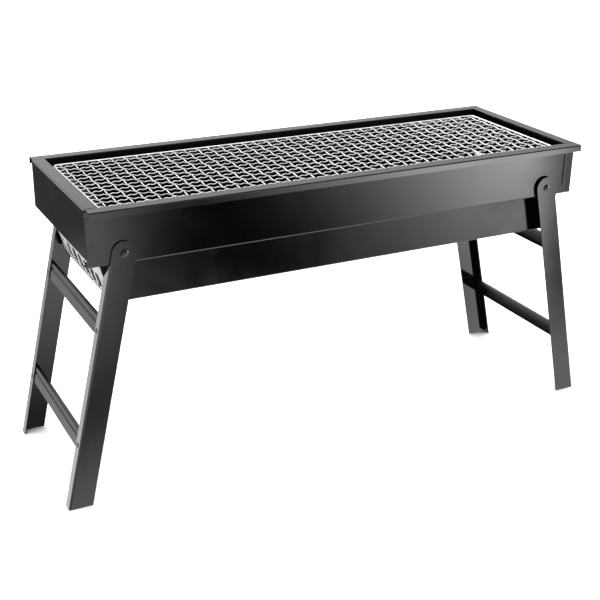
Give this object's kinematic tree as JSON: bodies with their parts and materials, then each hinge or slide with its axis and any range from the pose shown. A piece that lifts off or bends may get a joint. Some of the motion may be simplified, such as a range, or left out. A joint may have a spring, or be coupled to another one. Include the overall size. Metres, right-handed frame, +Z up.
{
  "type": "folding camp grill",
  "caption": "Tabletop charcoal grill with a wire cooking mesh, a hanging charcoal tray and two leg frames that fold flat under the body.",
  "frame": {"origin": "middle of the footprint, on the floor", "axes": "+X along the grill's length, -Y is the front, +Z up"},
  "size_m": [0.6736, 0.218, 0.331],
  "materials": {
    "body_paint": "gloss black powder coat",
    "tray_paint": "gloss black heat-resistant paint",
    "leg_paint": "semi-gloss black powder coat",
    "rivet_paint": "gloss black enamel",
    "chromed_wire": "bright chromed steel wire",
    "zinc_sheet": "bright zinc-plated steel sheet"
  },
  "bodies": {
    "grill_body": {"front_panel": "body_paint", "rear_panel": "body_paint", "left_end_panel": "body_paint", "right_end_panel": "body_paint", "left_mesh_ledge": "body_paint", "right_mesh_ledge": "body_paint", "corner_spot_welds": "body_paint", "left_pivot_rivets": "rivet_paint", "right_pivot_rivets": "rivet_paint", "left_pivot_washers": "zinc_sheet", "right_pivot_washers": "zinc_sheet"},
    "charcoal_tray": {"tray_trough": "tray_paint", "left_tray_end": "zinc_sheet", "right_tray_end": "zinc_sheet", "charcoal_grate": "tray_paint"},
    "cooking_mesh": {"mesh_border_wire": "chromed_wire", "mesh_cross_wires": "chromed_wire", "mesh_long_wires": "chromed_wire"},
    "left_leg_frame": {"left_front_leg": "leg_paint", "left_rear_leg": "leg_paint", "left_upper_crossbar": "leg_paint", "left_lower_crossbar": "leg_paint", "left_crossbar_rivets": "rivet_paint"},
    "right_leg_frame": {"right_front_leg": "leg_paint", "right_rear_leg": "leg_paint", "right_upper_crossbar": "leg_paint", "right_lower_crossbar": "leg_paint", "right_crossbar_rivets": "rivet_paint"}
  },
  "joints": [
    {"name": "left_leg_fold", "type": "hinge", "parent": "grill_body", "child": "left_leg_frame", "pos_m": [-0.2613, 0, 0.2804], "axis": [0, -1, 0], "range_deg": [0, 102.5]},
    {"name": "right_leg_fold", "type": "hinge", "parent": "grill_body", "child": "right_leg_frame", "pos_m": [0.2613, 0, 0.2804], "axis": [0, 1, 0], "range_deg": [0, 99.43]},
    {"name": "tray_lift", "type": "slide", "parent": "grill_body", "child": "charcoal_tray", "axis": [0, 0, 1], "range_m": [0, 0.0504]},
    {"name": "mesh_lift_off", "type": "slide", "parent": "grill_body", "child": "cooking_mesh", "axis": [0, 0, 1], "range_m": [0, 0.12]}
  ],
  "couplings": [
    {"joint": "right_leg_fold", "follows": "left_leg_fold", "ratio": 0.97},
    {"joint": "tray_lift", "follows": "left_leg_fold", "m_per_rad": 0.028172}
  ]
}
